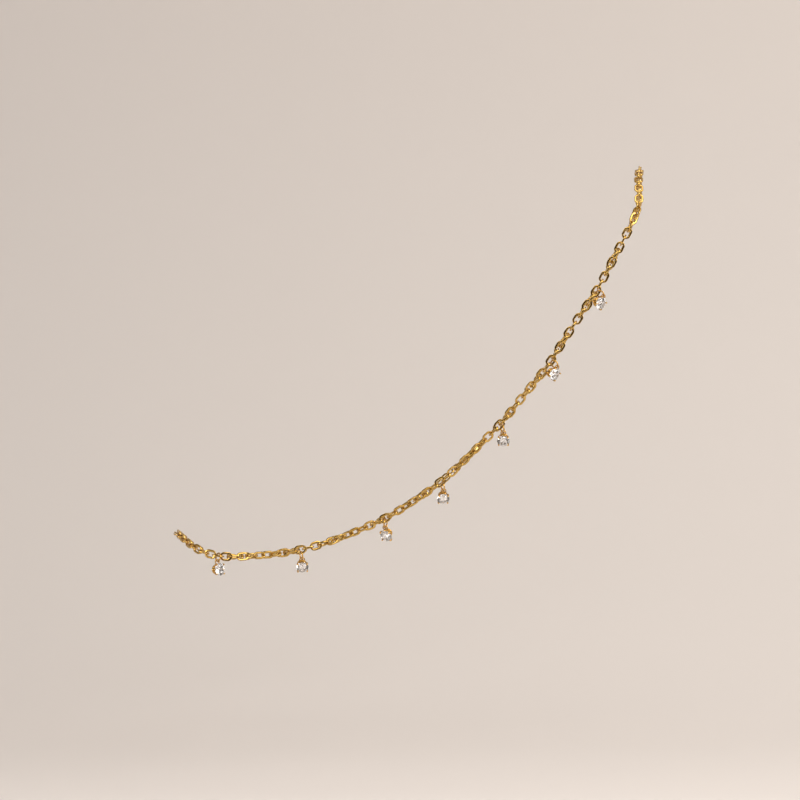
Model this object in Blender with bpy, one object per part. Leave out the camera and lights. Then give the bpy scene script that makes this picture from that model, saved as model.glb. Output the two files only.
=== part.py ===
"""A fine choker: an oval cable chain with claw-set round stones hanging from it on jump rings.

Metres, +Z up. The front run of the chain hangs in an upright plane and faces -Y, and the rest of the
loop passes behind it, round the place of the neck. The origin lies on the chain, in the bend at the
upper right of the front run, where it hangs. The front run is made of fused links, and the rest of the
chain is a round tube of their width.
"""

from math import ceil, cos, pi, radians, sin, tan

import bmesh
import bpy
import numpy as np
from mathutils import Matrix, Vector

# The chain: ten stretches of five-sided wire to a link.
LINK_WIDTH = 0.00160
LINK_PITCH = 0.001436
LINK_WIRE = 0.00033
LINK_STEPS = 10
WIRE_SIDES = 5
LINK_FUSE = 0.00006
LINKS_SHOWN = 86

# The loop. It widens evenly towards the back, as seen from an apex in front of it.
# The hang point is the place in the route's own coordinates that becomes the origin.
BACK_DEPTH = 0.0745
APEX = Vector((-0.0416, -0.450, -0.0334))
HANG_POINT = Vector((-0.0002, 0.0012, 0.0001))
SIDE_POINTS = 5
CURVE_STEP = 0.0002
TUBE_SPACING = 3.0

# The front run, left to right, chosen by hand: across and height as seen in its plane, and the depth
# behind that plane.
FRONT_ROUTE = [
    (-0.0801, 0.0098, -0.0568),
    (-0.0796, 0.0070, -0.0572),
    (-0.0785, 0.0042, -0.0582),
    (-0.0769, 0.0019, -0.0593),
    (-0.0750, 0.0006, -0.0601),
    (-0.0726, 0.0000, -0.0606),
    (-0.0687, 0.0000, -0.0606),
    (-0.0635, 0.0000, -0.0602),
    (-0.0583, 0.0000, -0.0593),
    (-0.0532, 0.0000, -0.0578),
    (-0.0484, 0.0000, -0.0559),
    (-0.0437, 0.0000, -0.0537),
    (-0.0391, 0.0000, -0.0509),
    (-0.0346, 0.0000, -0.0477),
    (-0.0305, 0.0000, -0.0440),
    (-0.0270, 0.0000, -0.0405),
    (-0.0233, 0.0000, -0.0366),
    (-0.0200, 0.0000, -0.0325),
    (-0.0171, 0.0000, -0.0290),
    (-0.0144, 0.0000, -0.0251),
    (-0.0118, 0.0000, -0.0210),
    (-0.0092, 0.0000, -0.0171),
    (-0.0068, 0.0000, -0.0133),
    (-0.0046, 0.0000, -0.0091),
    (-0.0026, 0.0000, -0.0053),
    (-0.0011, 0.0002, -0.0023),
    (-0.0002, 0.0012, 0.0001),
    (0.0000, 0.0031, 0.0023),
    (-0.0001, 0.0060, 0.0045),
    (0.0000, 0.0100, 0.0062),
]

# The round stone and its facets: main facets in both halves, twice as many round the girdle and one
# star facet between two mains. Slopes in degrees.
STONE_RADIUS = 0.00110
GIRDLE = 0.00006
TABLE_SHARE = 0.56
MAIN_FACETS = 8
CROWN_SLOPE = 34.5
PAVILION_SLOPE = 41.0
UPPER_SLOPE = 42.0
LOWER_SLOPE = 42.3
STAR_SLOPE = 22.0

# The setting: a rail behind the stone, four claws over its edge and a loop on top.
RAIL_RADIUS = 0.00074
RAIL_WIRE = 0.00028
RAIL_BEHIND = 0.00060
CLAW_WIRE = 0.00026
CLAWS = 4
CLAW_REACH = 0.00030
CLAW_FOOT = 0.5
LOOP_HOLE = 0.00064
LOOP_WIRE = 0.00020
LOOP_FUSE = 0.00008

# The jump rings, and the gaps that the pieces keep.
RING_HOLE = 0.00124
RING_WIRE = 0.00028
RING_STEPS = 10
RAIL_STEPS = 10
WIRE_GAP = 0.00003
SEAT_GAP = 0.00003
END_GAP = 0.00005

# The clasp: a round spring ring with an eye at each end of its line.
CLASP_RADIUS = 0.00215
CLASP_STEPS = 14
CLASP_WIRE = 0.00110
EYE_HOLE = 0.00100
EYE_WIRE = 0.00045
EYE_FUSE = 0.00034

# One row for each drop, left to right. Angles in degrees.
# link: the link that carries it, counted from the left. roll: how that link lies, 0 upright, -90 level.
# slide: how far the ring has slid to the left in the link. swing: how far to its right the ring hangs.
# turn: the ring's turn about that line. face: where the stone looks, + to the right.
# nod: how far it looks down. tip: how far its foot swings to the right.
DROPS = [
    {"link": 9, "roll": -90, "slide": -0.00022, "swing": -14, "turn": 44, "face": 44, "nod": -6, "tip": 0},
    {"link": 19, "roll": 0, "slide": 0.0, "swing": 12, "turn": 20, "face": 8, "nod": 36, "tip": 4},
    {"link": 30, "roll": 0, "slide": 0.0002, "swing": -4, "turn": -20, "face": -22, "nod": 34, "tip": 0},
    {"link": 38, "roll": 0, "slide": 0.0, "swing": 10, "turn": 18, "face": 6, "nod": 36, "tip": 0},
    {"link": 48, "roll": 0, "slide": 0.0, "swing": 12, "turn": 18, "face": -4, "nod": 34, "tip": 0},
    {"link": 58, "roll": 0, "slide": 0.0001, "swing": 36, "turn": 40, "face": 38, "nod": 18, "tip": -34},
    {"link": 68, "roll": 0, "slide": -0.00005, "swing": 46, "turn": 40, "face": 38, "nod": 14, "tip": -40},
]
# How far the links between two drops roll at the middle of their stretch, in degrees, left to right.
SWAYS = [0, 0, 40, 35, 20, 0]

GOLD = {"colour": (0.86, 0.58, 0.20, 1.0), "roughness": 0.22, "metallic": 1.0, "clear": 0.0}
CRYSTAL = {"colour": (0.97, 0.97, 1.0, 1.0), "roughness": 0.02, "metallic": 0.0, "clear": 1.0}

UP = Vector((0.0, 0.0, 1.0))
FRONT = Vector((0.0, -1.0, 0.0))


def clear_scene():
    for obj in list(bpy.data.objects):
        bpy.data.objects.remove(obj, do_unlink=True)


def material(name, colour, roughness, metallic, clear):
    made = bpy.data.materials.new(name)
    made.use_nodes = True
    shader = made.node_tree.nodes["Principled BSDF"]
    shader.inputs["Base Color"].default_value = colour
    shader.inputs["Roughness"].default_value = roughness
    shader.inputs["Metallic"].default_value = metallic
    shader.inputs["Transmission Weight"].default_value = clear
    made.diffuse_color = colour
    return made


def add_object(name, mesh, finish=None, place=None):
    obj = bpy.data.objects.new(name, mesh)
    bpy.context.scene.collection.objects.link(obj)
    if finish is not None:
        obj.data.materials.clear()
        obj.data.materials.append(finish)
    if place is not None:
        obj.matrix_world = place
    return obj


def mesh_from(bm, name):
    """The bmesh as a mesh, with its faces pointing out."""
    bmesh.ops.recalc_face_normals(bm, faces=bm.faces)
    mesh = bpy.data.meshes.new(name)
    bm.to_mesh(mesh)
    bm.free()
    return mesh


def helper(name, mesh):
    """An object that only shapes another."""
    obj = add_object(name, mesh)
    obj.hide_render = True
    obj.display_type = "WIRE"
    return obj


def combine(obj, other, operation):
    modifier = obj.modifiers.new(other.name, "BOOLEAN")
    modifier.operation = operation
    modifier.solver = "EXACT"
    modifier.object = other


def finished_mesh(obj, name):
    """The mesh that the object's modifiers give it."""
    graph = bpy.context.evaluated_depsgraph_get()
    mesh = bpy.data.meshes.new_from_object(obj.evaluated_get(graph))
    mesh.name = name
    return mesh


def placement(centre, x_axis, y_axis, z_axis):
    """The matrix that puts a shape at centre, along three axes at right angles."""
    turned = Matrix((x_axis, y_axis, z_axis)).transposed().to_4x4()
    return Matrix.Translation(centre) @ turned


def wire_ring(name, radius, wire, steps, sides=WIRE_SIDES, stretch=0.0):
    """A closed ring of round wire about Z. stretch pulls its halves apart along X, into an oval."""
    bm = bmesh.new()
    half_step = Matrix.Rotation(pi / steps, 4, "Z")
    section_turn = Matrix(((0, -1, 0), (0, 0, -1), (1, 0, 0))).to_4x4()
    place = half_step @ Matrix.Translation((radius, 0, 0)) @ section_turn
    section = bmesh.ops.create_circle(bm, segments=sides, radius=wire / 2, matrix=place)
    rim = section["verts"] + list({edge for vert in section["verts"] for edge in vert.link_edges})
    bmesh.ops.spin(bm, geom=rim, axis=UP, angle=2 * pi, steps=steps, use_merge=True)
    if stretch:
        for side in (1, -1):
            half = [vert for vert in bm.verts if side * vert.co.x > wire / 100]
            bmesh.ops.translate(bm, verts=half, vec=(side * stretch, 0, 0))
    return mesh_from(bm, name)


# The loop's line


def spread(across, depth, height):
    """The point that lies depth behind the front run's plane, on the line from the apex."""
    growth = 1 + depth / -APEX.y
    point = Vector((APEX.x + (across - APEX.x) * growth, depth, APEX.z + (height - APEX.z) * growth))
    return point - HANG_POINT


def loop_points():
    """The front run, the right side, the back run and the left side, once round."""
    left, right = FRONT_ROUTE[0], FRONT_ROUTE[-1]
    back = [(across, BACK_DEPTH - depth, height) for across, depth, height in reversed(FRONT_ROUTE)]
    points = [spread(*row) for row in FRONT_ROUTE]
    for step in range(1, SIDE_POINTS + 1):
        depth = right[1] + (back[0][1] - right[1]) * step / (SIDE_POINTS + 1)
        points.append(spread(right[0], depth, right[2]))
    points += [spread(*row) for row in back]
    for step in range(1, SIDE_POINTS + 1):
        depth = back[-1][1] + (left[1] - back[-1][1]) * step / (SIDE_POINTS + 1)
        points.append(spread(left[0], depth, left[2]))
    return points


class Loop:
    """A smooth closed curve through points, read by the distance along it from the first one."""

    def __init__(self, points):
        knots = np.array([tuple(point) for point in points])
        chords = np.linalg.norm(np.roll(knots, -1, axis=0) - knots, axis=1)
        bends = self.bends_at(knots, chords)
        fine = []
        starts = []
        for index, chord in enumerate(chords):
            starts.append(sum(len(stretch) for stretch in fine))
            after = (index + 1) % len(knots)
            share = np.linspace(0, 1, max(2, ceil(chord / CURVE_STEP)), endpoint=False)[:, None]
            rest = 1 - share
            straight = rest * knots[index] + share * knots[after]
            bend = (rest**3 - rest) * bends[index] + (share**3 - share) * bends[after]
            fine.append(straight + bend * chord**2 / 6)
        self.points = np.concatenate(fine + [fine[0][:1]])
        self.distance = np.concatenate(
            [[0.0], np.cumsum(np.linalg.norm(np.diff(self.points, axis=0), axis=1))]
        )
        self.length = self.distance[-1]
        self.front_length = self.distance[starts[len(FRONT_ROUTE) - 1]]

    @staticmethod
    def bends_at(knots, chords):
        """The second derivatives of the closed cubic spline through the knots."""
        count = len(knots)
        system = np.zeros((count, count))
        slopes = np.zeros((count, 3))
        for index in range(count):
            before, after = (index - 1) % count, (index + 1) % count
            system[index, before] = chords[before]
            system[index, index] = 2 * (chords[before] + chords[index])
            system[index, after] = chords[index]
            rise = (knots[after] - knots[index]) / chords[index]
            fall = (knots[index] - knots[before]) / chords[before]
            slopes[index] = 6 * (rise - fall)
        return np.linalg.solve(system, slopes)

    def at(self, distance):
        wrapped = distance % self.length
        return Vector([np.interp(wrapped, self.distance, self.points[:, axis]) for axis in range(3)])


# The chain


def link_roll(index):
    """How far a link is turned about the chain: a quarter turn past its neighbour, and as a drop sets it."""
    number = max(sum(drop["link"] <= index for drop in DROPS) - 1, 0)
    mark = DROPS[number]
    past = index - mark["link"]
    roll = mark["roll"] + 90 * past
    if past > 0 and number + 1 < len(DROPS):
        count = DROPS[number + 1]["link"] - mark["link"]
        left_over = DROPS[number + 1]["roll"] - mark["roll"] - 90 * count
        twist = (left_over + 90) % 180 - 90
        roll += twist * past / count + SWAYS[number] * sin(pi * past / count)
    return radians(roll)


def link_axes(loop, index):
    """A link's centre, its direction and the direction of its width."""
    start = loop.at(index * LINK_PITCH)
    end = loop.at((index + 1) * LINK_PITCH)
    along = (end - start).normalized()
    upright = (UP - along * UP.dot(along)).normalized()
    roll = link_roll(index)
    width = upright * cos(roll) + along.cross(upright) * sin(roll)
    return (start + end) / 2, along, width


def link_placement(loop, index):
    centre, along, width = link_axes(loop, index)
    return placement(centre, along, width, along.cross(width))


def link_ring_radius():
    """The radius of a link's round ends, at the middle of the wire."""
    return LINK_WIDTH / 2 - LINK_WIRE / 2 * cos(pi / WIRE_SIDES)


def link_mesh():
    """One oval link along X. Its hole is the pitch long, less what neighbours are fused into each other."""
    radius = link_ring_radius()
    inner_end = (radius - LINK_WIRE / 2) * cos(pi / LINK_STEPS)
    stretch = (LINK_PITCH - LINK_FUSE) / 2 - inner_end
    return wire_ring("link", radius, LINK_WIRE, LINK_STEPS, stretch=stretch)


def every_other_link(loop, first):
    """Every other link of the front run, from the first one given, in one mesh."""
    link = link_mesh()
    bm = bmesh.new()
    for index in range(first, LINKS_SHOWN, 2):
        made = len(bm.verts)
        bm.from_mesh(link)
        bm.verts.ensure_lookup_table()
        bmesh.ops.transform(bm, matrix=link_placement(loop, index), verts=bm.verts[made:])
    return mesh_from(bm, "links")


def build_front_chain(loop, gold):
    """The links that show, fused where they touch into one body."""
    chain = add_object("chain_front", every_other_link(loop, 0), gold)
    combine(chain, helper("links_between", every_other_link(loop, 1)), "UNION")


def build_plain_chain(name, loop, start, end, gold):
    """A stretch of the chain as a round tube of the links' width."""
    spacing = TUBE_SPACING * LINK_WIDTH
    count = max(2, round((end - start) / spacing)) + 1
    curve = bpy.data.curves.new(name, "CURVE")
    curve.dimensions = "3D"
    curve.bevel_depth = LINK_WIDTH / 2
    curve.bevel_resolution = 2
    curve.use_fill_caps = True
    spline = curve.splines.new("POLY")
    spline.points.add(count - 1)
    for point, distance in zip(spline.points, np.linspace(start, end, count)):
        point.co = (*loop.at(distance), 1.0)
    add_object(name, curve, gold)


# The clasp


def clasp_reach():
    """How far the clasp's eyes reach from its middle along the chain."""
    eye_radius = (EYE_HOLE + EYE_WIRE) / 2
    ring_outside = CLASP_RADIUS + CLASP_WIRE / 2
    eye_centre = ring_outside - EYE_FUSE + eye_radius + EYE_WIRE / 2
    return eye_centre, eye_centre + eye_radius + EYE_WIRE / 2


def build_clasp(loop, middle, gold):
    """A plain spring ring lying level on the chain's line, with an eye for the chain at both ends."""
    eye_centre, reach = clasp_reach()
    start, end = loop.at(middle - reach), loop.at(middle + reach)
    along = (end - start).normalized()
    depth = (-FRONT + along * FRONT.dot(along)).normalized()
    place = placement((start + end) / 2, along, depth, along.cross(depth))
    body = wire_ring("clasp", CLASP_RADIUS, CLASP_WIRE, CLASP_STEPS)
    clasp = add_object("clasp", body, gold, place)
    for side, name in ((1, "eye_right"), (-1, "eye_left")):
        eye = wire_ring(name, (EYE_HOLE + EYE_WIRE) / 2, EYE_WIRE, RING_STEPS)
        eye.transform(place @ Matrix.Translation((side * eye_centre, 0, 0)))
        combine(clasp, helper(name, eye), "UNION")


# The drops


def cut_facets(bm, count, first, slope, radius, height, side):
    """Cuts facets in a ring, each through the point at radius and height. side is 1 above, -1 below."""
    for step in range(count):
        azimuth = radians(first + 360 * step / count)
        outward = Vector((cos(azimuth), sin(azimuth), 0))
        normal = outward * sin(radians(slope)) + UP * side * cos(radians(slope))
        point = outward * radius + UP * height
        geometry = bm.verts[:] + bm.edges[:] + bm.faces[:]
        cut = bmesh.ops.bisect_plane(
            bm, geom=geometry, dist=STONE_RADIUS / 10000, plane_co=point, plane_no=normal, clear_outer=True
        )
        rim = [edge for edge in cut["geom_cut"] if isinstance(edge, bmesh.types.BMEdge)]
        bmesh.ops.contextual_create(bm, geom=rim)


def round_blank(sides, radius, above, below):
    """A prism about Z with a corner on the X axis, for facets to be cut from."""
    bm = bmesh.new()
    place = Matrix.Translation((0, 0, (above - below) / 2))
    bmesh.ops.create_cone(
        bm, cap_ends=True, segments=sides, radius1=radius, radius2=radius, depth=above + below, matrix=place
    )
    return bm


def stone_mesh():
    """A round brilliant about Z, its table up and the middle of its girdle at z = 0."""
    half = GIRDLE / 2
    crown = (1 - TABLE_SHARE) * STONE_RADIUS * tan(radians(CROWN_SLOPE))
    sides = 2 * MAIN_FACETS
    half_main, half_side = 180 / MAIN_FACETS, 180 / sides
    girdle_edge = STONE_RADIUS * cos(radians(half_side))
    table_edge = TABLE_SHARE * STONE_RADIUS * cos(radians(half_main))
    bm = round_blank(sides, STONE_RADIUS, half + crown, STONE_RADIUS)
    cut_facets(bm, MAIN_FACETS, 0, CROWN_SLOPE, STONE_RADIUS, half, 1)
    cut_facets(bm, sides, half_side, UPPER_SLOPE, girdle_edge, half, 1)
    cut_facets(bm, MAIN_FACETS, half_main, STAR_SLOPE, table_edge, half + crown, 1)
    cut_facets(bm, MAIN_FACETS, 0, PAVILION_SLOPE, STONE_RADIUS, -half, -1)
    cut_facets(bm, sides, half_side, LOWER_SLOPE, girdle_edge, -half, -1)
    return mesh_from(bm, "stone")


def seat_mesh():
    """The room that the claws leave for the stone: a flat at each main facet, clear by the seat's gap."""
    flat = STONE_RADIUS + SEAT_GAP
    edge = GIRDLE / 2 + SEAT_GAP / 2
    half_main = pi / MAIN_FACETS
    bm = round_blank(MAIN_FACETS, flat / cos(half_main), STONE_RADIUS, STONE_RADIUS)
    bmesh.ops.rotate(bm, matrix=Matrix.Rotation(half_main, 3, "Z"), verts=bm.verts)
    cut_facets(bm, MAIN_FACETS, 0, CROWN_SLOPE, flat, edge, 1)
    cut_facets(bm, MAIN_FACETS, 0, PAVILION_SLOPE, flat, -edge, -1)
    return mesh_from(bm, "seat")


def claws_mesh():
    """The claws, growing out of the rail, past the stone's edge and in over its crown."""
    edge = STONE_RADIUS + CLAW_WIRE / 4
    stations = [
        (RAIL_RADIUS, -RAIL_BEHIND, CLAW_FOOT),
        (edge, -CLAW_WIRE / 2, 1.0),
        (edge, CLAW_REACH / 3, 1.0),
        (edge - CLAW_WIRE / 2, CLAW_REACH, 1.0),
    ]
    curve = bpy.data.curves.new("claws", "CURVE")
    curve.dimensions = "3D"
    curve.bevel_depth = CLAW_WIRE / 2
    curve.bevel_resolution = 0
    curve.use_fill_caps = True
    for claw in range(CLAWS):
        azimuth = 2 * pi * (claw + 0.5) / CLAWS
        spline = curve.splines.new("POLY")
        spline.points.add(len(stations) - 1)
        for point, (radius, height, thickness) in zip(spline.points, stations):
            point.co = (radius * cos(azimuth), radius * sin(azimuth), height, 1.0)
            point.radius = thickness
    guide = helper("claws_curve", curve)
    mesh = finished_mesh(guide, "claws")
    bpy.data.objects.remove(guide)
    return mesh


def loop_height():
    """From the stone's axis up to the middle of the setting's loop."""
    loop_outside = LOOP_HOLE / 2 + LOOP_WIRE
    return RAIL_RADIUS + RAIL_WIRE / 2 + loop_outside - LOOP_FUSE


def setting_mesh():
    """The rail, claws and loop as one body, with a seat cut for the stone. +Y is up, +Z to the front."""
    rail = wire_ring("rail", RAIL_RADIUS, RAIL_WIRE, RAIL_STEPS)
    rail.transform(Matrix.Translation((0, 0, -RAIL_BEHIND)))
    loop = wire_ring("loop", (LOOP_HOLE + LOOP_WIRE) / 2, LOOP_WIRE, LINK_STEPS)
    loop.transform(Matrix.Translation((0, loop_height(), -RAIL_BEHIND)))
    body = helper("setting_body", rail)
    others = [
        (helper("setting_claws", claws_mesh()), "UNION"),
        (helper("setting_loop", loop), "UNION"),
        (helper("setting_seat", seat_mesh()), "DIFFERENCE"),
    ]
    for other, operation in others:
        combine(body, other, operation)
    mesh = finished_mesh(body, "setting")
    for obj in [body] + [other for other, _ in others]:
        bpy.data.objects.remove(obj)
    return mesh


def wire_room(wire, ring_wire, skew):
    """How far a wire's middle keeps from the inside of a ring that it passes through at a skew."""
    return wire / 2 / cos(skew) + ring_wire / 2 * tan(skew) + WIRE_GAP


def drop_places(loop, drop):
    """Where a drop's jump ring and its stone lie."""
    angles = {name: radians(drop[name]) for name in ("swing", "turn", "face", "nod", "tip")}
    centre, along, width = link_axes(loop, drop["link"])
    wire_centre = centre - width * link_ring_radius() - along * drop["slide"]
    down = Vector((1, 0, 0)) * sin(angles["swing"]) - UP * cos(angles["swing"])
    axis = (along - down * along.dot(down)).normalized()
    axis = Matrix.Rotation(-angles["turn"], 3, down) @ axis
    flat = cos(pi / RING_STEPS)
    link_room = wire_room(LINK_WIRE, RING_WIRE, axis.angle(along))
    ring_centre = wire_centre + down * (RING_HOLE / 2 * flat - link_room)
    ring_place = placement(ring_centre, down, axis.cross(down), axis)
    ring_bottom = ring_centre + down * (RING_HOLE + RING_WIRE) / 2 * flat
    aside = Vector((sin(angles["face"]), -cos(angles["face"]), 0))
    front = aside * cos(angles["nod"]) - UP * sin(angles["nod"])
    stone_up = (UP - front * UP.dot(front)).normalized()
    stone_up = Matrix.Rotation(angles["tip"], 3, front) @ stone_up
    loop_room = wire_room(RING_WIRE, LOOP_WIRE, front.angle(down.cross(axis)))
    hang = LOOP_HOLE / 2 * flat - loop_room + loop_height()
    stone_centre = ring_bottom - stone_up * hang + front * RAIL_BEHIND
    stone_place = placement(stone_centre, stone_up.cross(front), stone_up, front)
    return ring_place, stone_place


def build_drops(loop, gold, crystal):
    ring = wire_ring("jump_ring", (RING_HOLE + RING_WIRE) / 2, RING_WIRE, RING_STEPS)
    setting = setting_mesh()
    stone = stone_mesh()
    for number, drop in enumerate(DROPS, 1):
        ring_place, stone_place = drop_places(loop, drop)
        add_object("drop_%d_ring" % number, ring, gold, ring_place)
        add_object("drop_%d_setting" % number, setting, gold, stone_place)
        add_object("drop_%d_stone" % number, stone, crystal, stone_place)


def build():
    clear_scene()
    gold = material("gold", **GOLD)
    crystal = material("crystal", **CRYSTAL)
    loop = Loop(loop_points())
    build_front_chain(loop, gold)
    shown_end = LINKS_SHOWN * LINK_PITCH
    end_gap = LINK_WIRE + END_GAP
    middle = (loop.front_length + loop.length) / 2
    _, reach = clasp_reach()
    clasp_gap = reach + END_GAP
    build_plain_chain("chain_back_right", loop, shown_end + end_gap, middle - clasp_gap, gold)
    build_plain_chain("chain_back_left", loop, middle + clasp_gap, loop.length - end_gap, gold)
    build_clasp(loop, middle, gold)
    build_drops(loop, gold, crystal)


build()
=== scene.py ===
"""A fine choker of gold cable chain with claw-set round stones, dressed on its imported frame.

Metres, +Z up, in the frame's own coordinates. The front run of the chain faces -Y, towards the camera.
"""

from math import cos, pi, radians, sin, sqrt, tan

import bmesh
import bpy
import numpy as np
from mathutils import Matrix, Vector


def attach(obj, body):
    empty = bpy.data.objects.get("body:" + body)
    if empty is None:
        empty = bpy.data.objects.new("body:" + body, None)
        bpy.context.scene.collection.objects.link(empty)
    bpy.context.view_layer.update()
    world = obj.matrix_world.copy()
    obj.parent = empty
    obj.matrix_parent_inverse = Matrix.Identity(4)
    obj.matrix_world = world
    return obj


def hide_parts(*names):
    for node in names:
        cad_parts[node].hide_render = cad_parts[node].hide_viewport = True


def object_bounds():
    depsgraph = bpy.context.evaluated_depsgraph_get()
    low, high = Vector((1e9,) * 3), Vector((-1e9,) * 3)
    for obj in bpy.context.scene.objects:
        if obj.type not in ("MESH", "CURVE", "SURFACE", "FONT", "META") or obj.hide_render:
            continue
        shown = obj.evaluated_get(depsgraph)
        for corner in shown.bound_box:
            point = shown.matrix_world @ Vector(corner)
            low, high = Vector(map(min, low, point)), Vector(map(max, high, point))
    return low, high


UP = Vector((0.0, 0.0, 1.0))
RIGHT = Vector((1.0, 0.0, 0.0))
FRONT = Vector((0.0, -1.0, 0.0))

# The chain's line, as the frame has it. A row of the route is across, depth and height before the hang
# point is moved to the origin. The camera stands at the apex.
LINK_WIDTH = 0.00160
LINK_PITCH = 0.001436
LINKS_SHOWN = 86
BACK_DEPTH = 0.0745
APEX = Vector((-0.0416, -0.450, -0.0334))
HANG_POINT = Vector((-0.0002, 0.0012, 0.0001))
SIDE_POINTS = 5
CURVE_STEP = 0.0002
FRONT_ROUTE = [
    (-0.0801, 0.0098, -0.0568),
    (-0.0796, 0.0070, -0.0572),
    (-0.0785, 0.0042, -0.0582),
    (-0.0769, 0.0019, -0.0593),
    (-0.0750, 0.0006, -0.0601),
    (-0.0726, 0.0000, -0.0606),
    (-0.0687, 0.0000, -0.0606),
    (-0.0635, 0.0000, -0.0602),
    (-0.0583, 0.0000, -0.0593),
    (-0.0532, 0.0000, -0.0578),
    (-0.0484, 0.0000, -0.0559),
    (-0.0437, 0.0000, -0.0537),
    (-0.0391, 0.0000, -0.0509),
    (-0.0346, 0.0000, -0.0477),
    (-0.0305, 0.0000, -0.0440),
    (-0.0270, 0.0000, -0.0405),
    (-0.0233, 0.0000, -0.0366),
    (-0.0200, 0.0000, -0.0325),
    (-0.0171, 0.0000, -0.0290),
    (-0.0144, 0.0000, -0.0251),
    (-0.0118, 0.0000, -0.0210),
    (-0.0092, 0.0000, -0.0171),
    (-0.0068, 0.0000, -0.0133),
    (-0.0046, 0.0000, -0.0091),
    (-0.0026, 0.0000, -0.0053),
    (-0.0011, 0.0002, -0.0023),
    (-0.0002, 0.0012, 0.0001),
    (0.0000, 0.0031, 0.0023),
    (-0.0001, 0.0060, 0.0045),
    (0.0000, 0.0100, 0.0062),
]

# A link's wire is flattened on its two faces, with soft edges.
WIRE_WIDTH = 0.00034
WIRE_THICK = 0.00028
WIRE_EDGE = 0.00006
WIRE_EDGE_STEPS = 2
LINK_STEPS = 22
LINK_SLACK = 0.00006

# The hidden links: how far one may twist from square to the next, how many line up with the clasp, and
# the share of the loop's depth past which they follow the front run.
MOST_TWIST = 30
CLASP_LINKS = 4
BACK_SHARE = 0.8

# The frame's links, which the jump rings hang from, have five-sided wire.
FRAME_WIRE = 0.00033
FRAME_WIRE_SIDES = 5

# The jump rings: round wire, cut at one side. The frame's rings have flats, and these are as wide as
# those are across the flats.
RING_HOLE = 0.00124
FRAME_RING_WIRE = 0.00028
FRAME_RING_FLATS = 10
RING_WIRE = 0.00026
RING_SIDES = 12
RING_STEPS = 40
RING_CUT = 0.00003
WIRE_GAP = 0.00003

# The round stones, and the settings that hold them.
STONE_RADIUS = 0.00110
GIRDLE = 0.00006
MAIN_FACETS = 8
CROWN_SLOPE = 34.5
PAVILION_SLOPE = 41.0
FACET_MERGE = STONE_RADIUS / 10000
SETTING_SIDES = 10
SETTING_STEPS = 36
RAIL_RADIUS = 0.00074
RAIL_WIRE = 0.00028
RAIL_BEHIND = 0.00060
BASE_RADIUS = 0.00064
BASE_WIRE = 0.00040
BASE_BEHIND = 0.00110
LOOP_HOLE = 0.00064
LOOP_WIRE = 0.00020
LOOP_STEPS = 24
LOOP_FUSE = 0.00008
SEAT_GAP = 0.00003

# The claws. They are a little thicker than their wire at the base ring and at the rail. Between the rail
# and the stone's edge they pass a point that lies these shares of the way out and of the way up.
CLAWS = 4
CLAW_WIRE = 0.00027
CLAW_ROUNDNESS = 3
CLAW_REACH = 0.00030
CLAW_AT_BASE = 1.20
CLAW_AT_RAIL = 1.10
CLAW_WAY_OUT = 0.6
CLAW_WAY_UP = 0.45
# How a claw bends in over the stone's crown: how far in, in wires, how high, in reaches, and how thick.
CLAW_BEND = [
    (0.00, 0.3333, 1.00),
    (0.15, 0.70, 0.98),
    (0.40, 0.95, 0.85),
    (0.58, 1.08, 0.60),
    (0.66, 1.14, 0.25),
]

# The clasp: a round spring ring with an eye at each end of its line.
CLASP_RADIUS = 0.00215
CLASP_WIRE = 0.00110
CLASP_SIDES = 16
CLASP_STEPS = 48
EYE_HOLE = 0.00100
EYE_WIRE = 0.00045
EYE_SIDES = 12
EYE_STEPS = 28
EYE_FUSE = 0.00034

# Edges sharper than this stay sharp, in degrees.
LINK_SHARP = 50
METAL_SHARP = 40
PAPER_SHARP = 60

# One row for each drop, left to right. Angles in degrees.
# link: the link that carries it, counted from the left. roll: how that link lies, 0 upright, -90 level.
# slide: how far the ring has slid to the left in the link. swing: how far to its right the ring hangs.
# turn: the ring's turn about that line. face: where the stone looks, + to the right.
# nod: how far it looks down. tip: how far its foot swings to the right.
DROPS = [
    {"link": 9, "roll": -90, "slide": -0.00022, "swing": -14, "turn": 44, "face": 44, "nod": -6, "tip": 0},
    {"link": 19, "roll": 0, "slide": 0.0, "swing": 12, "turn": 20, "face": 8, "nod": 36, "tip": 4},
    {"link": 30, "roll": 0, "slide": 0.0002, "swing": -4, "turn": -20, "face": -22, "nod": 34, "tip": 0},
    {"link": 38, "roll": 0, "slide": 0.0, "swing": 10, "turn": 18, "face": 6, "nod": 36, "tip": 0},
    {"link": 48, "roll": 0, "slide": 0.0, "swing": 12, "turn": 18, "face": -4, "nod": 34, "tip": 0},
    {"link": 58, "roll": 0, "slide": 0.0001, "swing": 36, "turn": 40, "face": 38, "nod": 18, "tip": -34},
    {"link": 68, "roll": 0, "slide": -0.00005, "swing": 46, "turn": 40, "face": 38, "nod": 14, "tip": -40},
]
# How far the links between two drops roll at the middle of their stretch, in degrees, left to right.
SWAYS = [0, 0, 40, 35, 20, 0]

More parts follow.
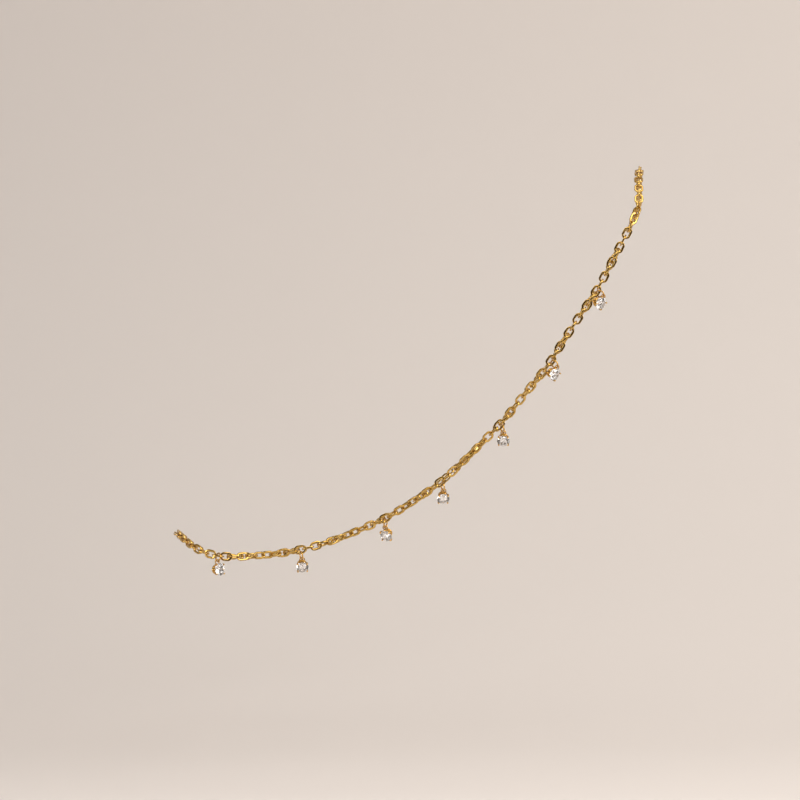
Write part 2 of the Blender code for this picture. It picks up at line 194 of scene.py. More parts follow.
# The metal's wear: soft patches of a deeper gold, and fine scratches that dull it. The golds' Patches and
# Scratches are how fine each of them is.
PATCH_DETAIL = 3.0
PATCH_RANGE = (0.35, 0.70)
SCRATCH_DETAIL = 4.0
SCRATCH_DISTORTION = 0.6
SCRATCH_RANGE = (0.30, 0.75)
DULL_RANGE = (-0.05, 0.10)
SCRATCH_DEPTH = 0.00002
CHAIN_GOLD = {
    "Metal": (0.64, 0.43, 0.145, 1.0),
    "Deep": (0.50, 0.295, 0.055, 1.0),
    "Polish": 0.15,
    "Patches": 900.0,
    "Scratches": 9000.0,
}
CHAIN_RELIEF = 0.20
SETTING_GOLD = {
    "Metal": (0.66, 0.425, 0.13, 1.0),
    "Deep": (0.53, 0.28, 0.05, 1.0),
    "Polish": 0.14,
    "Patches": 1200.0,
    "Scratches": 9000.0,
}
SETTING_RELIEF = 0.15
# The stones' colour is near white with a faint warm tint. That tint is a painted reflection of a warm
# surround, not a colour of the clear stone itself.
STONE_COLOUR_PAINTED_REFLECTION = (1.0, 0.99, 0.985, 1.0)
STONE_IOR = 2.15

# The picture: its width at the front run, and what stands round the choker.
FRAME_WIDTH = 0.1392
SENSOR = 36.0
CLIP_START = 0.01
FLOOR_DROP = 0.035
WALL_BEHIND = 0.16
FLOOR_FRONT = 0.30
STAGE_SIZE = 1.6
STAGE_BEND = 0.18
STAGE_BEND_STEPS = 16
WALL_COLOUR = (0.72, 0.665, 0.625, 1.0)
PAPER_ROUGHNESS = 0.9

# The room that the metal and the stones mirror: pale, with a dark part in front whose middle lies
# DARK_RISE degrees above the camera. ROOM_COLOUR is what the camera itself sees of it.
ROOM_COLOUR = (0.80, 0.71, 0.64, 1.0)
ROOM_STRENGTH = 0.8
DARK_RISE = 16
PALE_COLOUR = (0.41, 0.39, 0.365, 1.0)
PALE_UP_TO = 0.72
DARK_COLOUR = (0.040, 0.022, 0.008, 1.0)
DARK_FROM = 0.91

# The lamps: where each stands and what it aims at, from the choker's middle, its two sides and watts.
LAMPS = [
    {"name": "window", "place": (0.42, -0.22, 0.20), "aim": (0.0, 0.0, 0.0), "sides": (0.24, 0.30),
     "power": 1.55, "colour": (1.0, 0.97, 0.93)},
    {"name": "overhead", "place": (0.05, -0.05, 0.50), "aim": (0.0, 0.0, 0.0), "sides": (0.36, 0.26),
     "power": 0.68, "colour": (1.0, 0.99, 0.97)},
    {"name": "floor_wash", "place": (0.02, -0.22, 0.13), "aim": (0.02, -0.16, -0.07), "sides": (0.22, 0.12),
     "power": 0.33, "colour": (1.0, 0.98, 0.97)},
    {"name": "left_fill", "place": (-0.44, -0.27, -0.005), "aim": (0.0, 0.0, 0.0), "sides": (0.22, 0.10),
     "power": 0.55, "colour": (1.0, 0.98, 1.0)},
]


# Shapes


def smooth(mesh, sharp):
    """Shades the mesh smooth, but for edges sharper than the angle given in degrees."""
    mesh.shade_smooth()
    mesh.set_sharp_from_angle(angle=radians(sharp))


def finish_mesh(bm, name, sharp=None):
    """The bmesh as a mesh with its faces pointing out, flat unless it is given its sharp edges' angle."""
    bmesh.ops.recalc_face_normals(bm, faces=bm.faces)
    mesh = bpy.data.meshes.new(name)
    bm.to_mesh(mesh)
    bm.free()
    if sharp is not None:
        smooth(mesh, sharp)
    return mesh


def add_object(name, mesh, finish=None):
    obj = bpy.data.objects.new(name, mesh)
    bpy.context.scene.collection.objects.link(obj)
    if finish is not None:
        mesh.materials.clear()
        mesh.materials.append(finish)
    return obj


def dress(name, mesh, gold, node):
    """A finished piece of gold that stands for a node of the frame and rides with it."""
    obj = add_object(name, mesh, gold)
    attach(obj, "root")
    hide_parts(node)


def placement(centre, x_axis, y_axis, z_axis):
    """The matrix that puts a shape at centre, along three axes at right angles."""
    turned = Matrix((x_axis, y_axis, z_axis)).transposed().to_4x4()
    return Matrix.Translation(centre) @ turned


def section_place(radius):
    """Puts a section drawn in XY at radius on the X axis, standing across the ring's line."""
    stand = Matrix(((1, 0, 0), (0, 0, -1), (0, 1, 0))).to_4x4()
    return Matrix.Translation((radius, 0, 0)) @ stand


def spin_ring(bm, section, steps):
    """Spins a closed section once round Z."""
    rim = section + list({edge for vert in section for edge in vert.link_edges})
    bmesh.ops.spin(bm, geom=rim, axis=UP, angle=2 * pi, steps=steps, use_merge=True)


def wire_ring(radius, wire, steps, sides):
    """A bmesh with a closed ring of round wire about Z."""
    bm = bmesh.new()
    place = Matrix.Rotation(pi / steps, 4, "Z") @ section_place(radius)
    section = bmesh.ops.create_circle(bm, segments=sides, radius=wire / 2, matrix=place)
    spin_ring(bm, section["verts"], steps)
    return bm


def copies(link, places, name):
    """One mesh with a copy of the link at each place."""
    bm = bmesh.new()
    for place in places:
        made = len(bm.verts)
        bm.from_mesh(link)
        bm.verts.ensure_lookup_table()
        bmesh.ops.transform(bm, matrix=place, verts=bm.verts[made:])
    joined = bpy.data.meshes.new(name)
    bm.to_mesh(joined)
    bm.free()
    smooth(joined, LINK_SHARP)
    return joined


def combined(body, others, name):
    """The body's mesh with each of the others joined to it or cut from it."""
    shape = add_object(name + "_body", body)
    helpers = [shape]
    for mesh, operation in others:
        tool = add_object(mesh.name, mesh)
        modifier = shape.modifiers.new(mesh.name, "BOOLEAN")
        modifier.operation = operation
        modifier.solver = "EXACT"
        modifier.object = tool
        helpers.append(tool)
    graph = bpy.context.evaluated_depsgraph_get()
    mesh = bpy.data.meshes.new_from_object(shape.evaluated_get(graph))
    mesh.name = name
    for obj in helpers:
        bpy.data.objects.remove(obj, do_unlink=True)
    smooth(mesh, METAL_SHARP)
    return mesh


# The chain's line


def spread(across, depth, height):
    """The point that lies depth behind the front run's plane, on the line from the apex."""
    growth = 1 + depth / -APEX.y
    point = Vector((APEX.x + (across - APEX.x) * growth, depth, APEX.z + (height - APEX.z) * growth))
    return point - HANG_POINT


def loop_points():
    """The front run, the right side, the back run and the left side, once round."""
    left, right = FRONT_ROUTE[0], FRONT_ROUTE[-1]
    back = [(across, BACK_DEPTH - depth, height) for across, depth, height in reversed(FRONT_ROUTE)]
    points = [spread(*row) for row in FRONT_ROUTE]
    for step in range(1, SIDE_POINTS + 1):
        depth = right[1] + (back[0][1] - right[1]) * step / (SIDE_POINTS + 1)
        points.append(spread(right[0], depth, right[2]))
    points += [spread(*row) for row in back]
    for step in range(1, SIDE_POINTS + 1):
        depth = back[-1][1] + (left[1] - back[-1][1]) * step / (SIDE_POINTS + 1)
        points.append(spread(left[0], depth, left[2]))
    return points


class Loop:
    """A smooth closed curve through points, read by the distance along it from the first one."""

    def __init__(self, points):
        knots = np.array([tuple(point) for point in points])
        chords = np.linalg.norm(np.roll(knots, -1, axis=0) - knots, axis=1)
        bends = self.bends_at(knots, chords)
        fine = []
        starts = []
        for index, chord in enumerate(chords):
            starts.append(sum(len(stretch) for stretch in fine))
            after = (index + 1) % len(knots)
            steps = max(2, int(np.ceil(chord / CURVE_STEP)))
            share = np.linspace(0, 1, steps, endpoint=False)[:, None]
            rest = 1 - share
            straight = rest * knots[index] + share * knots[after]
            bend = (rest**3 - rest) * bends[index] + (share**3 - share) * bends[after]
            fine.append(straight + bend * chord**2 / 6)
        self.points = np.concatenate(fine + [fine[0][:1]])
        self.distance = np.concatenate(
            [[0.0], np.cumsum(np.linalg.norm(np.diff(self.points, axis=0), axis=1))]
        )
        self.length = self.distance[-1]
        self.front_length = self.distance[starts[len(FRONT_ROUTE) - 1]]
        front = self.points[self.distance <= self.front_length]
        self.front_seen = self.seen(front)

    @staticmethod
    def seen(points):
        """Across and height of points in the front run's plane, as seen from the apex."""
        places = np.array(points) + np.array(HANG_POINT)
        growth = 1 + places[:, 1] / -APEX.y
        return np.stack([(places[:, axis] - APEX[axis]) / growth for axis in (0, 2)], axis=1)

    def hidden_by(self, point):
        """The distance along the front run of the place that lies in front of the point."""
        offset = self.front_seen - self.seen([tuple(point)])
        return self.distance[np.argmin(np.linalg.norm(offset, axis=1))]

    @staticmethod
    def bends_at(knots, chords):
        """The second derivatives of the closed cubic spline through the knots."""
        count = len(knots)
        system = np.zeros((count, count))
        slopes = np.zeros((count, 3))
        for index in range(count):
            before, after = (index - 1) % count, (index + 1) % count
            system[index, before] = chords[before]
            system[index, index] = 2 * (chords[before] + chords[index])
            system[index, after] = chords[index]
            rise = (knots[after] - knots[index]) / chords[index]
            fall = (knots[index] - knots[before]) / chords[before]
            slopes[index] = 6 * (rise - fall)
        return np.linalg.solve(system, slopes)

    def at(self, distance):
        wrapped = distance % self.length
        return Vector([np.interp(wrapped, self.distance, self.points[:, axis]) for axis in range(3)])


# The links


def link_mesh():
    """One oval link in XY. Its hole is as long as the pitch, and its wire has two flat faces."""
    radius = (LINK_WIDTH - WIRE_WIDTH) / 2
    bm = bmesh.new()
    corners = bmesh.ops.create_circle(bm, cap_ends=True, segments=4, radius=sqrt(0.5))["verts"]
    bmesh.ops.rotate(bm, matrix=Matrix.Rotation(pi / 4, 3, "Z"), verts=corners)
    bmesh.ops.scale(bm, vec=(WIRE_WIDTH, WIRE_THICK, 1), verts=corners)
    bmesh.ops.bevel(
        bm, geom=corners, offset=WIRE_EDGE, offset_type="OFFSET", affect="VERTICES",
        segments=WIRE_EDGE_STEPS, profile=0.5, material=-1,
    )
    bmesh.ops.delete(bm, geom=bm.faces[:], context="FACES_ONLY")
    place = Matrix.Rotation(pi / LINK_STEPS, 4, "Z") @ section_place(radius)
    bmesh.ops.transform(bm, matrix=place, verts=bm.verts)
    spin_ring(bm, bm.verts[:], LINK_STEPS)
    stretch = (LINK_PITCH + LINK_SLACK) / 2 - (radius - WIRE_WIDTH / 2)
    for side in (1, -1):
        half = [vert for vert in bm.verts if side * vert.co.x > 0]
        bmesh.ops.translate(bm, verts=half, vec=(side * stretch, 0, 0))
    return finish_mesh(bm, "link", LINK_SHARP)


def front_roll(index):
    """How far a link of the front run is turned about the chain, in degrees."""
    number = max(sum(drop["link"] <= index for drop in DROPS) - 1, 0)
    mark = DROPS[number]
    past = index - mark["link"]
    roll = mark["roll"] + 90 * past
    if past > 0 and number + 1 < len(DROPS):
        count = DROPS[number + 1]["link"] - mark["link"]
        left_over = DROPS[number + 1]["roll"] - mark["roll"] - 90 * count
        twist = (left_over + 90) % 180 - 90
        roll += twist * past / count + SWAYS[number] * sin(pi * past / count)
    return roll


def link_axes(loop, start, pitch, roll):
    """The centre, direction and width of the link whose hole starts at a distance along the loop."""
    near, far = loop.at(start), loop.at(start + pitch)
    along = (far - near).normalized()
    upright = (UP - along * UP.dot(along)).normalized()
    width = upright * cos(radians(roll)) + along.cross(upright) * sin(radians(roll))
    return (near + far) / 2, along, width


def link_place(loop, start, pitch, roll):
    centre, along, width = link_axes(loop, start, pitch, roll)
    return placement(centre, along, width, along.cross(width))


def front_places(loop):
    return [
        link_place(loop, index * LINK_PITCH, LINK_PITCH, front_roll(index)) for index in range(LINKS_SHOWN)
    ]


def hidden_places(loop, start, end, roll):
    """Links from start to end, each near a quarter turn from its neighbour. roll is the shown neighbour's.

    Behind the front run they turn as the links in front of them do, and at the clasp they stand upright.
    """
    count = int(abs(end - start) / LINK_PITCH) + 1
    step = (end - start) / count
    places = []
    for number in range(count):
        middle = loop.at(start + (number + 0.5) * step)
        left_over = count - 1 - number
        if left_over < CLASP_LINKS:
            wanted = 90 * left_over
        elif middle.y > BACK_SHARE * BACK_DEPTH:
            wanted = -front_roll(loop.hidden_by(middle) / LINK_PITCH - 0.5)
        else:
            wanted = roll + 90
        twist = (wanted - roll) % 180 - 90
        roll += 90 + max(-MOST_TWIST, min(MOST_TWIST, twist))
        near = start + (number if step > 0 else number + 1) * step
        places.append(link_place(loop, near, abs(step), roll))
    return places


def clasp_reach():
    """From the clasp's middle to its eyes' middles, and to where a link pulls on an eye."""
    eye_radius = (EYE_HOLE + EYE_WIRE) / 2
    eye_centre = CLASP_RADIUS + CLASP_WIRE / 2 - EYE_FUSE + eye_radius + EYE_WIRE / 2
    return eye_centre, eye_centre + EYE_HOLE / 2


def build_chain(loop, gold):
    link = link_mesh()
    middle = (loop.front_length + loop.length) / 2
    _, pull = clasp_reach()
    shown_end = LINKS_SHOWN * LINK_PITCH
    right = hidden_places(loop, shown_end, middle - pull, front_roll(LINKS_SHOWN - 1))
    left = hidden_places(loop, loop.length, middle + pull, front_roll(0))
    stretches = [
        ("front_links", front_places(loop), "chain_front"),
        ("right_links", right, "chain_back_right"),
        ("left_links", left, "chain_back_left"),
    ]
    for name, places, node in stretches:
        dress(name, copies(link, places, name), gold, node)


def build_clasp(loop, gold):
    """A plain spring ring lying level on the chain's line, with an eye for the chain at both ends."""
    middle = (loop.front_length + loop.length) / 2
    eye_centre, _ = clasp_reach()
    eye_outside = eye_centre + EYE_HOLE / 2 + EYE_WIRE
    start, end = loop.at(middle - eye_outside), loop.at(middle + eye_outside)
    along = (end - start).normalized()
    depth = (-FRONT + along * FRONT.dot(along)).normalized()
    body = finish_mesh(wire_ring(CLASP_RADIUS, CLASP_WIRE, CLASP_STEPS, CLASP_SIDES), "clasp_ring")
    eyes = []
    for side, name in ((1, "right_eye"), (-1, "left_eye")):
        eye = finish_mesh(wire_ring((EYE_HOLE + EYE_WIRE) / 2, EYE_WIRE, EYE_STEPS, EYE_SIDES), name)
        eye.transform(Matrix.Translation((side * eye_centre, 0, 0)))
        eyes.append((eye, "UNION"))
    mesh = combined(body, eyes, "spring_ring")
    mesh.transform(placement((start + end) / 2, along, depth, along.cross(depth)))
    dress("spring_ring", mesh, gold, "clasp")


# The drops


def cut_facets(bm, slope, radius, height, side):
    """Cuts the main facets, each through the point at radius and height. side is 1 above, -1 below."""
    for step in range(MAIN_FACETS):
        azimuth = radians(360 * step / MAIN_FACETS)
        outward = Vector((cos(azimuth), sin(azimuth), 0))
        normal = outward * sin(radians(slope)) + UP * side * cos(radians(slope))
        point = outward * radius + UP * height
        geometry = bm.verts[:] + bm.edges[:] + bm.faces[:]
        cut = bmesh.ops.bisect_plane(
            bm, geom=geometry, dist=FACET_MERGE, plane_co=point, plane_no=normal, clear_outer=True
        )
        rim = [edge for edge in cut["geom_cut"] if isinstance(edge, bmesh.types.BMEdge)]
        bmesh.ops.contextual_create(bm, geom=rim)


def seat_mesh():
    """The room that the claws leave for the stone: a flat at each main facet, clear by the seat's gap."""
    flat = STONE_RADIUS + SEAT_GAP
    edge = GIRDLE / 2 + SEAT_GAP / 2
    half_main = pi / MAIN_FACETS
    bm = bmesh.new()
    bmesh.ops.create_cone(
        bm, cap_ends=True, segments=MAIN_FACETS, radius1=flat / cos(half_main),
        radius2=flat / cos(half_main), depth=2 * STONE_RADIUS,
    )
    bmesh.ops.rotate(bm, matrix=Matrix.Rotation(half_main, 3, "Z"), verts=bm.verts)
    cut_facets(bm, CROWN_SLOPE, flat, edge, 1)
    cut_facets(bm, PAVILION_SLOPE, flat, -edge, -1)
    return finish_mesh(bm, "seat")


def claw_wires(lines):
    """Round wires along lines of points. A point is its place and its share of the wire's thickness."""
    curve = bpy.data.curves.new("claws", "CURVE")
    curve.dimensions = "3D"
    curve.bevel_depth = CLAW_WIRE / 2
    curve.bevel_resolution = CLAW_ROUNDNESS
    curve.use_fill_caps = True
    for line in lines:
        spline = curve.splines.new("POLY")
        spline.points.add(len(line) - 1)
        for point, (place, share) in zip(spline.points, line):
            point.co = (*place, 1.0)
            point.radius = share
    guide = add_object("claws", curve)
    graph = bpy.context.evaluated_depsgraph_get()
    mesh = bpy.data.meshes.new_from_object(guide.evaluated_get(graph))
    mesh.name = "claws"
    bpy.data.objects.remove(guide, do_unlink=True)
    return mesh


def claw_line(azimuth):
    """From the base ring past the rail and the stone's edge, and in over its crown to a round tip."""
    edge = STONE_RADIUS + CLAW_WIRE / 4
    flare = RAIL_RADIUS + CLAW_WAY_OUT * (edge - RAIL_RADIUS)
    stations = [
        (BASE_RADIUS, -BASE_BEHIND, CLAW_AT_BASE),
        (RAIL_RADIUS, -RAIL_BEHIND, CLAW_AT_RAIL),
        (flare, -(1 - CLAW_WAY_UP) * RAIL_BEHIND, 1.0),
        (edge, -CLAW_WIRE / 2, 1.0),
    ]
    stations += [(edge - lean * CLAW_WIRE, rise * CLAW_REACH, share) for lean, rise, share in CLAW_BEND]
    outward = Vector((cos(azimuth), sin(azimuth), 0))
    return [(outward * radius + UP * height, share) for radius, height, share in stations]


def loop_height():
    """From the stone's axis up to the middle of the setting's loop."""
    return RAIL_RADIUS + RAIL_WIRE / 2 + LOOP_HOLE / 2 + LOOP_WIRE - LOOP_FUSE


def setting_mesh():
    """Base, rail, claws and loop as one body, with a seat for the stone. +Y is up, +Z to the front."""
    rail = finish_mesh(wire_ring(RAIL_RADIUS, RAIL_WIRE, SETTING_STEPS, SETTING_SIDES), "rail")
    rail.transform(Matrix.Translation((0, 0, -RAIL_BEHIND)))
    base = finish_mesh(wire_ring(BASE_RADIUS, BASE_WIRE, SETTING_STEPS, SETTING_SIDES), "base")
    base.transform(Matrix.Translation((0, 0, -BASE_BEHIND)))
    hanger_radius = (LOOP_HOLE + LOOP_WIRE) / 2
    hanger = finish_mesh(wire_ring(hanger_radius, LOOP_WIRE, LOOP_STEPS, SETTING_SIDES), "hanger")
    hanger.transform(Matrix.Translation((0, loop_height(), -RAIL_BEHIND)))
    lines = [claw_line(2 * pi * (claw + 0.5) / CLAWS) for claw in range(CLAWS)]
    claws = claw_wires(lines)
    others = [(base, "UNION"), (claws, "UNION"), (hanger, "UNION"), (seat_mesh(), "DIFFERENCE")]
    return combined(rail, others, "setting")


def ring_radius():
    """The radius of a jump ring at the middle of its wire."""
    return (RING_HOLE + FRAME_RING_WIRE) / 2 * cos(pi / FRAME_RING_FLATS)


def jump_ring_mesh():
    """A ring of round wire, cut through at one side, with flat cut ends."""
    radius = ring_radius()
    gap = RING_CUT / radius
    bm = bmesh.new()
    place = Matrix.Rotation(gap / 2, 4, "Z") @ section_place(radius)
    section = bmesh.ops.create_circle(bm, segments=RING_SIDES, radius=RING_WIRE / 2, matrix=place)["verts"]
    rim = section + list({edge for vert in section for edge in vert.link_edges})
    spun = bmesh.ops.spin(bm, geom=rim, axis=UP, angle=2 * pi - gap, steps=RING_STEPS)
    for end in (rim, spun["geom_last"]):
        edges = [part for part in end if isinstance(part, bmesh.types.BMEdge)]
        bmesh.ops.contextual_create(bm, geom=edges)
    bmesh.ops.rotate(bm, matrix=Matrix.Rotation(pi / 2, 3, "Z"), verts=bm.verts)
    return finish_mesh(bm, "jump_ring", METAL_SHARP)


def frame_end_radius():
    """The radius of a link's round ends at the middle of its wire, as the frame's five-sided wire has it."""
    return LINK_WIDTH / 2 - FRAME_WIRE / 2 * cos(pi / FRAME_WIRE_SIDES)


def wire_room(wire, ring_wire, skew):
    """How far a wire's middle keeps from the inside of a ring that it passes through at a skew."""
    return wire / 2 / cos(skew) + ring_wire / 2 * tan(skew) + WIRE_GAP


def drop_places(loop, drop):
    """Where a drop's jump ring and its stone lie."""
    angles = {name: radians(drop[name]) for name in ("swing", "turn", "face", "nod", "tip")}
    start = drop["link"] * LINK_PITCH
    centre, along, width = link_axes(loop, start, LINK_PITCH, drop["roll"])
    wire_centre = centre - width * frame_end_radius() - along * drop["slide"]
    down = RIGHT * sin(angles["swing"]) - UP * cos(angles["swing"])
    axis = (along - down * along.dot(down)).normalized()
    axis = Matrix.Rotation(-angles["turn"], 3, down) @ axis
    flat = cos(pi / FRAME_RING_FLATS)
    link_room = wire_room(FRAME_WIRE, FRAME_RING_WIRE, axis.angle(along))
    ring_centre = wire_centre + down * (RING_HOLE / 2 * flat - link_room)
    ring_place = placement(ring_centre, down, axis.cross(down), axis)
    ring_bottom = ring_centre + down * ring_radius()
    aside = Vector((sin(angles["face"]), -cos(angles["face"]), 0))
    front = aside * cos(angles["nod"]) - UP * sin(angles["nod"])
    stone_up = (UP - front * UP.dot(front)).normalized()
    stone_up = Matrix.Rotation(angles["tip"], 3, front) @ stone_up
    loop_room = wire_room(FRAME_RING_WIRE, LOOP_WIRE, front.angle(down.cross(axis)))
    hang = LOOP_HOLE / 2 * flat - loop_room + loop_height()
    stone_centre = ring_bottom - stone_up * hang + front * RAIL_BEHIND
    stone_place = placement(stone_centre, stone_up.cross(front), stone_up, front)
    return ring_place, stone_place


def build_drops(loop, gold, crystal, nodes):
    ring = jump_ring_mesh()
    setting = setting_mesh()
    for number, drop in enumerate(DROPS, 1):
        ring_place, stone_place = drop_places(loop, drop)
        for name, shape, place in (("ring", ring, ring_place), ("setting", setting, stone_place)):
            mesh = shape.copy()
            mesh.transform(place)
            node = "drop_%d_%s" % (number, name)
            dress("%s_of_drop_%d" % (name, number), mesh, gold, node)
        stone = nodes["drop_%d_stone" % number]
        stone.data.materials.clear()
        stone.data.materials.append(crystal)


# Materials


def node_group(name, inputs, outputs):
    """An empty shader group with its sockets, its input node and its output node."""
    group = bpy.data.node_groups.new(name, "ShaderNodeTree")
    for label, kind in inputs:
        group.interface.new_socket(label, in_out="INPUT", socket_type=kind)
    for label, kind in outputs:
        group.interface.new_socket(label, in_out="OUTPUT", socket_type=kind)
    return group, group.nodes.new("NodeGroupInput"), group.nodes.new("NodeGroupOutput")


def polished_metal_group():
    """Colour, roughness and height of metal that has been tumbled, worn and handled."""
    inputs = [
        ("Vector", "NodeSocketVector"),
        ("Metal", "NodeSocketColor"),
        ("Deep", "NodeSocketColor"),
        ("Polish", "NodeSocketFloat"),
        ("Patches", "NodeSocketFloat"),
        ("Scratches", "NodeSocketFloat"),
    ]
    outputs = [("Color", "NodeSocketColor"), ("Roughness", "NodeSocketFloat"), ("Height", "NodeSocketFloat")]
    group, given, result = node_group("polished_metal", inputs, outputs)
    nodes, links = group.nodes, group.links
    patches = nodes.new("ShaderNodeTexNoise")
    patches.inputs["Detail"].default_value = PATCH_DETAIL
    links.new(given.outputs["Vector"], patches.inputs["Vector"])
    links.new(given.outputs["Patches"], patches.inputs["Scale"])
    scratches = nodes.new("ShaderNodeTexNoise")
    scratches.inputs["Detail"].default_value = SCRATCH_DETAIL
    scratches.inputs["Distortion"].default_value = SCRATCH_DISTORTION
    links.new(given.outputs["Vector"], scratches.inputs["Vector"])
    links.new(given.outputs["Scratches"], scratches.inputs["Scale"])
    spread_out = nodes.new("ShaderNodeMapRange")
    spread_out.inputs["From Min"].default_value = PATCH_RANGE[0]
    spread_out.inputs["From Max"].default_value = PATCH_RANGE[1]
    links.new(patches.outputs["Fac"], spread_out.inputs["Value"])
    colour = nodes.new("ShaderNodeMix")
    colour.data_type = "RGBA"
    links.new(spread_out.outputs["Result"], colour.inputs["Factor"])
    links.new(given.outputs["Metal"], colour.inputs["A"])
    links.new(given.outputs["Deep"], colour.inputs["B"])
    dull = nodes.new("ShaderNodeMapRange")
    dull.inputs["From Min"].default_value = SCRATCH_RANGE[0]
    dull.inputs["From Max"].default_value = SCRATCH_RANGE[1]
    dull.inputs["To Min"].default_value = DULL_RANGE[0]
    dull.inputs["To Max"].default_value = DULL_RANGE[1]
    links.new(scratches.outputs["Fac"], dull.inputs["Value"])
    rough = nodes.new("ShaderNodeMath")
    rough.operation = "ADD"
    links.new(given.outputs["Polish"], rough.inputs[0])
    links.new(dull.outputs["Result"], rough.inputs[1])
    links.new(colour.outputs["Result"], result.inputs["Color"])
    links.new(rough.outputs["Value"], result.inputs["Roughness"])
    links.new(scratches.outputs["Fac"], result.inputs["Height"])
    return group


def gold_material(name, group, tone, relief_strength):
    made = bpy.data.materials.new(name)
    made.use_nodes = True
    nodes, links = made.node_tree.nodes, made.node_tree.links
    shader = nodes["Principled BSDF"]
    shader.inputs["Metallic"].default_value = 1.0
    place = nodes.new("ShaderNodeTexCoord")
    worn = nodes.new("ShaderNodeGroup")
    worn.node_tree = group
    for label, value in tone.items():
        worn.inputs[label].default_value = value
    relief = nodes.new("ShaderNodeBump")
    relief.inputs["Strength"].default_value = relief_strength
    relief.inputs["Distance"].default_value = SCRATCH_DEPTH
    links.new(place.outputs["Object"], worn.inputs["Vector"])
    links.new(worn.outputs["Color"], shader.inputs["Base Color"])
    links.new(worn.outputs["Roughness"], shader.inputs["Roughness"])
    links.new(worn.outputs["Height"], relief.inputs["Height"])
    links.new(relief.outputs["Normal"], shader.inputs["Normal"])
    return made


def crystal_material():
    made = bpy.data.materials.new("clear_stone")
    made.use_nodes = True
    shader = made.node_tree.nodes["Principled BSDF"]
    # The faint warm tint of this colour is a painted reflection of a warm surround.
    shader.inputs["Base Color"].default_value = STONE_COLOUR_PAINTED_REFLECTION
    shader.inputs["Roughness"].default_value = 0.0
    shader.inputs["Metallic"].default_value = 0.0
    shader.inputs["IOR"].default_value = STONE_IOR
    shader.inputs["Transmission Weight"].default_value = 1.0
    return made


def paper_material():
    """Plain paper for the stage, clear from behind so that it never hides the choker."""
    made = bpy.data.materials.new("plain_paper")
    made.use_nodes = True
    nodes, links = made.node_tree.nodes, made.node_tree.links
    shader = nodes["Principled BSDF"]
    shader.inputs["Base Color"].default_value = WALL_COLOUR
    shader.inputs["Roughness"].default_value = PAPER_ROUGHNESS
    side = nodes.new("ShaderNodeNewGeometry")
    clear = nodes.new("ShaderNodeBsdfTransparent")
    either = nodes.new("ShaderNodeMixShader")
    links.new(side.outputs["Backfacing"], either.inputs[0])
    links.new(shader.outputs["BSDF"], either.inputs[1])
    links.new(clear.outputs["BSDF"], either.inputs[2])
    links.new(either.outputs["Shader"], nodes["Material Output"].inputs["Surface"])
    return made


# The stage


def build_camera():
    data = bpy.data.cameras.new("camera")
    data.sensor_width = SENSOR
    data.lens = SENSOR * -APEX.y / FRAME_WIDTH
    data.clip_start = CLIP_START
    camera = bpy.data.objects.new("camera", data)
    camera.location = APEX - HANG_POINT
    camera.rotation_euler = (pi / 2, 0, 0)
    bpy.context.scene.collection.objects.link(camera)
    bpy.context.scene.camera = camera


def build_sweep(low, high):
    """A floor that bends up into a wall behind the choker."""
    middle = (low + high) / 2
    bm = bmesh.new()
    floor = low.z - FLOOR_DROP
    place = Matrix.Translation((middle.x, 0, floor))
    bmesh.ops.create_grid(bm, x_segments=1, y_segments=1, size=STAGE_SIZE / 2, matrix=place)
    wall = high.y + WALL_BEHIND
    for vert in bm.verts:
        vert.co.y = wall if vert.co.y > 0 else low.y - FLOOR_FRONT
    back = [edge for edge in bm.edges if all(vert.co.y > 0 for vert in edge.verts)]
    raised = bmesh.ops.extrude_edge_only(bm, edges=back)["geom"]
    top = [part for part in raised if isinstance(part, bmesh.types.BMVert)]
    bmesh.ops.translate(bm, verts=top, vec=(0, 0, STAGE_SIZE / 2))
    corner = [edge for edge in bm.edges if len(edge.link_faces) == 2]
    bmesh.ops.bevel(
        bm, geom=corner, offset=STAGE_BEND, offset_type="OFFSET", affect="EDGES",
        segments=STAGE_BEND_STEPS, profile=0.5, material=-1,
    )
    mesh = finish_mesh(bm, "sweep", PAPER_SHARP)
    if sum(face.normal.z for face in mesh.polygons) < 0:
        mesh.flip_normals()
    sweep = add_object("sweep", mesh, paper_material())


def build_lamps(middle):
    for lamp in LAMPS:
        data = bpy.data.lights.new(lamp["name"], "AREA")
        data.shape = "RECTANGLE"
        data.size, data.size_y = lamp["sides"]
        data.energy = lamp["power"]
        data.color = lamp["colour"]
        place = middle + Vector(lamp["place"])
        way = middle + Vector(lamp["aim"]) - place
        light = bpy.data.objects.new(lamp["name"], data)
        light.location = place
        light.rotation_euler = way.to_track_quat("-Z", "Y").to_euler()
        bpy.context.scene.collection.objects.link(light)


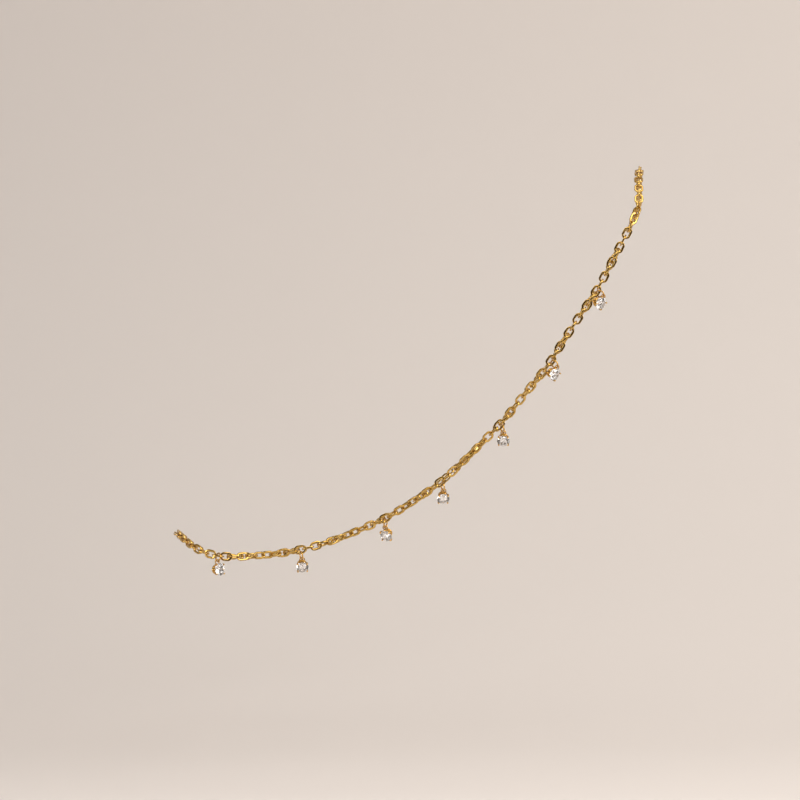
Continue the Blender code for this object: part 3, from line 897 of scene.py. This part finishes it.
def build_world():
    """A pale room. What it throws on the choker is darker from in front, behind and above the camera."""
    world = bpy.data.worlds.new("room")
    world.use_nodes = True
    bpy.context.scene.world = world
    nodes, links = world.node_tree.nodes, world.node_tree.links
    way = nodes.new("ShaderNodeTexCoord")
    facing = nodes.new("ShaderNodeVectorMath")
    facing.operation = "DOT_PRODUCT"
    facing.inputs[1].default_value = FRONT * cos(radians(DARK_RISE)) + UP * sin(radians(DARK_RISE))
    links.new(way.outputs["Generated"], facing.inputs[0])
    ramp = nodes.new("ShaderNodeValToRGB")
    pale, dark = ramp.color_ramp.elements
    pale.position = PALE_UP_TO
    pale.color = PALE_COLOUR
    dark.position = DARK_FROM
    dark.color = DARK_COLOUR
    links.new(facing.outputs["Value"], ramp.inputs["Fac"])
    background = nodes["Background"]
    background.inputs["Strength"].default_value = ROOM_STRENGTH
    path = nodes.new("ShaderNodeLightPath")
    seen = nodes.new("ShaderNodeMix")
    seen.data_type = "RGBA"
    seen.inputs["B"].default_value = ROOM_COLOUR
    links.new(path.outputs["Is Camera Ray"], seen.inputs["Factor"])
    links.new(ramp.outputs["Color"], seen.inputs["A"])
    links.new(seen.outputs["Result"], background.inputs["Color"])


def set_colours():
    """The picture's plain colours, as a camera with no grading would give them."""
    bpy.context.scene.view_settings.view_transform = "Standard"


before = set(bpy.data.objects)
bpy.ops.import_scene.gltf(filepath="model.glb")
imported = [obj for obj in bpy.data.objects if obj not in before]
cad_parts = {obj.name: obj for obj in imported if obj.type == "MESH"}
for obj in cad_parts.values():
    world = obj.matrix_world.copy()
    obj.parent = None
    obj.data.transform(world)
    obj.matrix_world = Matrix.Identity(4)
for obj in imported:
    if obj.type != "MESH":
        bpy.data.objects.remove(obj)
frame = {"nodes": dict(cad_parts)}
cad_low, cad_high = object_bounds()

chain_loop = Loop(loop_points())
metal_group = polished_metal_group()
chain_gold = gold_material("chain_gold", metal_group, CHAIN_GOLD, CHAIN_RELIEF)
setting_gold = gold_material("setting_gold", metal_group, SETTING_GOLD, SETTING_RELIEF)
clear_stone = crystal_material()

build_camera()
build_chain(chain_loop, chain_gold)
build_clasp(chain_loop, chain_gold)
build_drops(chain_loop, setting_gold, clear_stone, frame["nodes"])
build_sweep(Vector(cad_low), Vector(cad_high))
build_lamps((Vector(cad_low) + Vector(cad_high)) / 2)
build_world()
set_colours()
